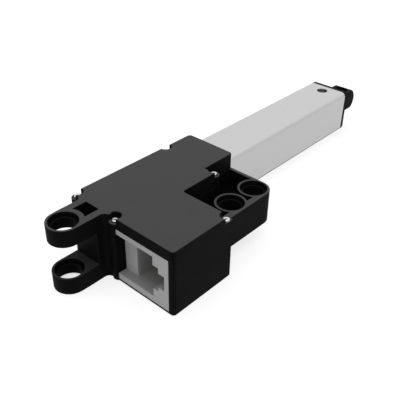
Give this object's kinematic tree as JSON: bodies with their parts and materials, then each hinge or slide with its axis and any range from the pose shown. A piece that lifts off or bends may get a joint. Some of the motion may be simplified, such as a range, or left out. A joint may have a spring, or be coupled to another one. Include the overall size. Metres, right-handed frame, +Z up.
{
  "type": "electric linear actuator",
  "caption": "Small electric linear actuator: black plastic housing with rear clevis, side lug and modular jack, square aluminium tube and a sliding rod with an upright bore in its end.",
  "frame": {"origin": "middle of the rear clevis bore, half way up the housing", "axes": "+X forward along the stroke, +Y to the left, +Z up through the cover and along the clevis bore"},
  "size_m": [0.1113, 0.0305, 0.016],
  "materials": {
    "housing_black": "fine moulded texture",
    "cover_black": "fine moulded texture",
    "screw_steel": "bright",
    "jack_grey": "semi gloss",
    "contact_gold": "bright",
    "board_green": "solder mask",
    "chip_black": "matt",
    "can_steel": "drawn",
    "inner_plastic": "matt",
    "terminal_brass": "plain",
    "magnet_grey": "matt",
    "armature_steel": "laminated",
    "gear_brass": "machined",
    "gear_plate_steel": "plain",
    "screw_steel_dark": "rolled",
    "block_plastic": "matt",
    "bearing_steel": "ground",
    "nut_plastic": "matt",
    "rod_steel": "ground",
    "rod_end_black": "fine moulded texture",
    "strip_film": "film",
    "tube_aluminium": "satin",
    "cap_black": "fine moulded texture",
    "pin_black": "matt",
    "bush_brass": "plain",
    "seal_rubber": "matt"
  },
  "bodies": {
    "housing": {"housing_base": "housing_black", "top_cover": "cover_black", "housing_screws": "screw_steel", "jack_body": "jack_grey", "jack_contacts": "contact_gold", "circuit_board": "board_green", "board_chips": "chip_black", "motor_can": "can_steel", "motor_end_cap": "inner_plastic", "motor_terminals": "terminal_brass", "motor_magnets": "magnet_grey", "gearbox_rear_plate": "gear_plate_steel", "gearbox_front_plate": "gear_plate_steel", "gearbox_posts": "gear_plate_steel", "gear_pin": "gear_plate_steel", "bearing_block": "block_plastic", "bearing_outer_ring": "bearing_steel", "bearing_balls": "bearing_steel", "position_strip": "strip_film", "outer_tube": "tube_aluminium", "front_cap": "cap_black", "cap_pins": "pin_black", "rod_bush": "bush_brass", "rod_seal": "seal_rubber"},
    "rod": {"drive_nut": "nut_plastic", "push_rod": "rod_steel", "rod_end": "rod_end_black", "strip_wiper": "terminal_brass"},
    "screw": {"lead_screw": "screw_steel_dark", "output_gear": "gear_brass", "bearing_inner_ring": "bearing_steel"},
    "third_gear": {"cluster_gear_3": "gear_brass"},
    "second_gear": {"cluster_gear_2": "gear_brass"},
    "first_gear": {"cluster_gear_1": "gear_brass"},
    "motor_shaft": {"motor_pinion": "gear_brass", "motor_armature": "armature_steel"}
  },
  "joints": [
    {"name": "rod_slide", "type": "slide", "parent": "housing", "child": "rod", "axis": [1, 0, 0], "range_m": [0, 0.05]},
    {"name": "lead_screw_spin", "type": "hinge", "parent": "housing", "child": "screw", "pos_m": [0.03, 0, 0], "axis": [1, 0, 0], "range_deg": [-4510, 10]},
    {"name": "third_gear_spin", "type": "hinge", "parent": "housing", "child": "third_gear", "pos_m": [0.0237, 0, -0.0036], "axis": [1, 0, 0], "range_deg": [-26, 11726]},
    {"name": "second_gear_spin", "type": "hinge", "parent": "housing", "child": "second_gear", "pos_m": [0.0231, 0, 0], "axis": [1, 0, 0], "range_deg": [-30487.6, 67.6]},
    {"name": "first_gear_spin", "type": "hinge", "parent": "housing", "child": "first_gear", "pos_m": [0.0221, 0, -0.0036], "axis": [1, 0, 0], "range_deg": [-175.76, 79267.76]},
    {"name": "motor_shaft_spin", "type": "hinge", "parent": "housing", "child": "motor_shaft", "pos_m": [0.0155, 0, 0], "axis": [1, 0, 0], "range_deg": [-206096.18, 456.98]}
  ],
  "couplings": [
    {"joint": "lead_screw_spin", "follows": "rod_slide", "rad_per_m": -1570.8},
    {"joint": "third_gear_spin", "follows": "rod_slide", "rad_per_m": 4084.1},
    {"joint": "second_gear_spin", "follows": "rod_slide", "rad_per_m": -10619},
    {"joint": "first_gear_spin", "follows": "rod_slide", "rad_per_m": 27608},
    {"joint": "motor_shaft_spin", "follows": "rod_slide", "rad_per_m": -71782}
  ]
}
